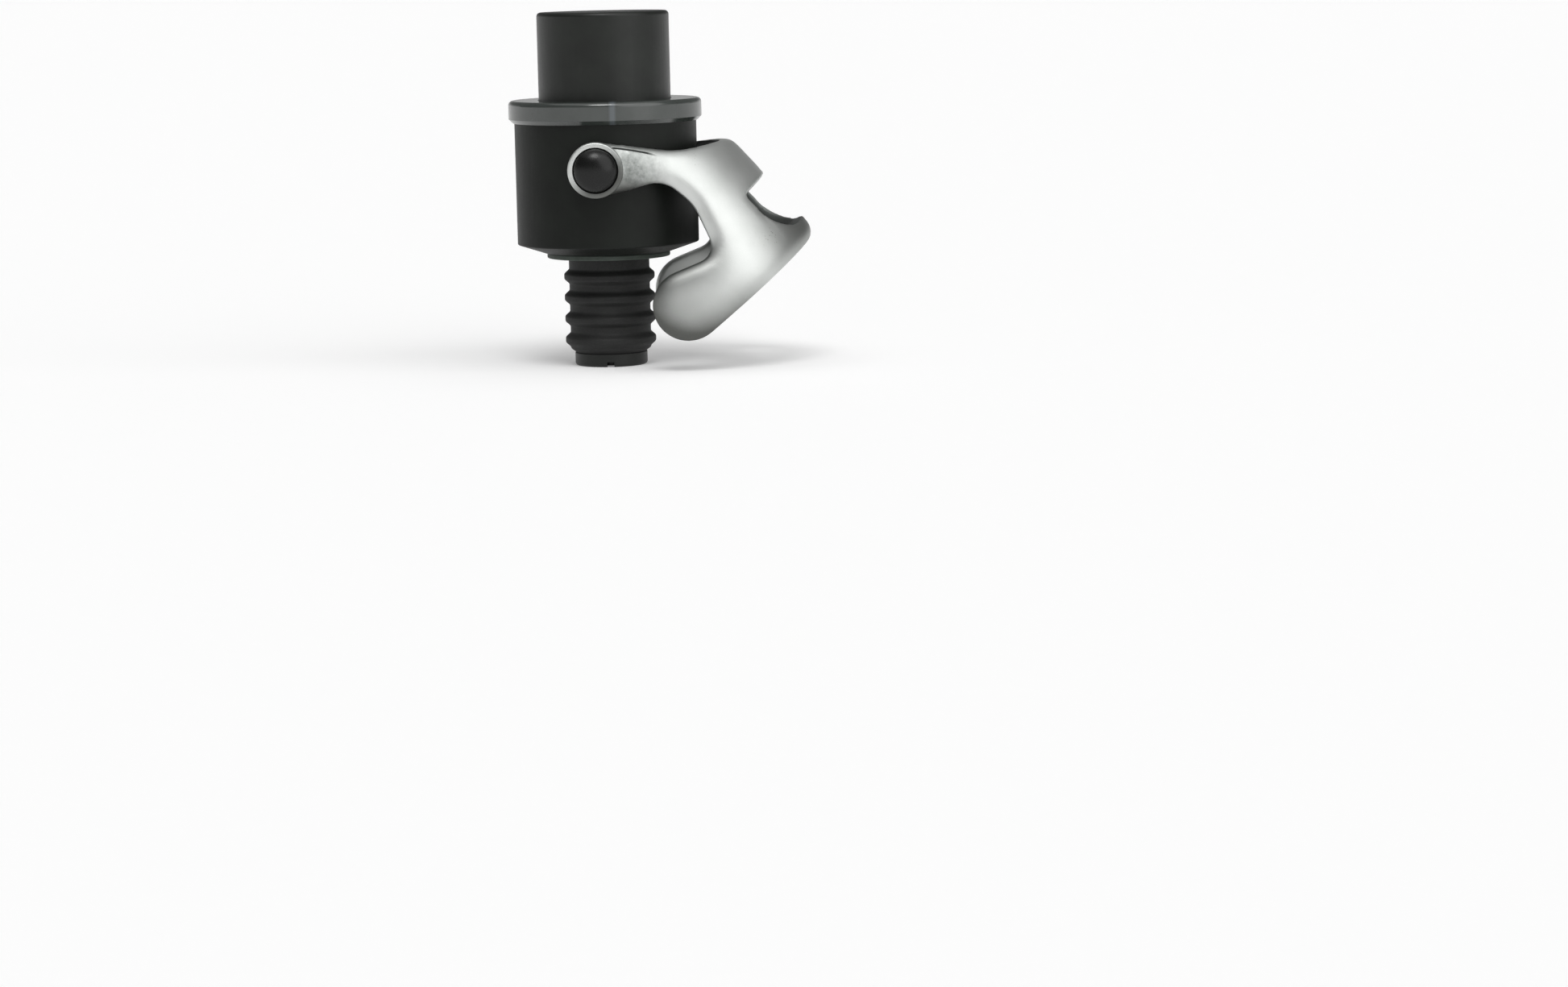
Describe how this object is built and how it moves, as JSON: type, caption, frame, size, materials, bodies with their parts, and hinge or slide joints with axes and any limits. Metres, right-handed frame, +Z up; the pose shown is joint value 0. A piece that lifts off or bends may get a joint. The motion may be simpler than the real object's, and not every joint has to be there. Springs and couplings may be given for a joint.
{
  "type": "sparkling wine pressure stopper",
  "caption": "Clamp-down bottle stopper: ribbed rubber plug, black pump housing with sliding knob, and a cast swing lever whose jaws hook under the bottle's collar.",
  "frame": {"origin": "on the stopper's axis, in the plane where the rim gasket meets the bottle's rim", "axes": "+Z up along the stopper's axis towards the pump knob, +X towards the lever's back, the lever's pivots lie along Y"},
  "size_m": [0.0598, 0.0472, 0.0699],
  "materials": {
    "gasket_rubber": "matt moulded rubber",
    "plug_rubber": "matt moulded rubber",
    "seal_rubber": "smooth moulded rubber",
    "valve_rubber": "soft moulded silicone",
    "plug_retainer": "moulded",
    "valve_stem": "moulded",
    "housing_black": "fine satin moulded",
    "knob_black": "fine satin moulded",
    "ring_grey": "semi-gloss moulded",
    "pin_black": "semi-gloss domed",
    "washer_plastic": "smooth",
    "bush_plastic": "smooth, low friction",
    "barrel_plastic": "smooth bore",
    "rod_plastic": "moulded",
    "screw_steel": "zinc plated",
    "spring_steel": "drawn wire",
    "lever_cast": "bead-blasted satin casting"
  },
  "bodies": {
    "stopper_body": {"housing": "housing_black", "rim_gasket": "gasket_rubber", "rubber_plug": "plug_rubber", "plug_retainer": "plug_retainer", "valve_stem": "valve_stem", "stem_seal": "seal_rubber", "barrel_seal": "seal_rubber", "pump_barrel": "barrel_plastic", "barrel_screws": "screw_steel", "check_valve": "valve_rubber", "top_ring": "ring_grey", "guide_bush": "bush_plastic", "pivot_pin_near": "pin_black", "pivot_pin_far": "pin_black", "pivot_washer_near": "washer_plastic", "pivot_washer_far": "washer_plastic", "return_spring": "spring_steel"},
    "knob": {"pump_knob": "knob_black", "knob_collar": "bush_plastic", "piston_rod": "rod_plastic", "piston_head": "rod_plastic", "piston_seal": "seal_rubber", "piston_screw": "screw_steel"},
    "lever": {"lever": "lever_cast"}
  },
  "joints": [
    {"name": "pump_slide", "type": "slide", "parent": "stopper_body", "child": "knob", "axis": [0, 0, 1], "range_m": [-0.014, 0], "stiffness_N_per_m": 250, "springref_m": 0.008, "deforming": ["return_spring"]},
    {"name": "lever_hinge", "type": "hinge", "parent": "stopper_body", "child": "lever", "pos_m": [-0.0016, 0, 0.0182], "axis": [0, 1, 0], "range_deg": [-14, 40]}
  ]
}
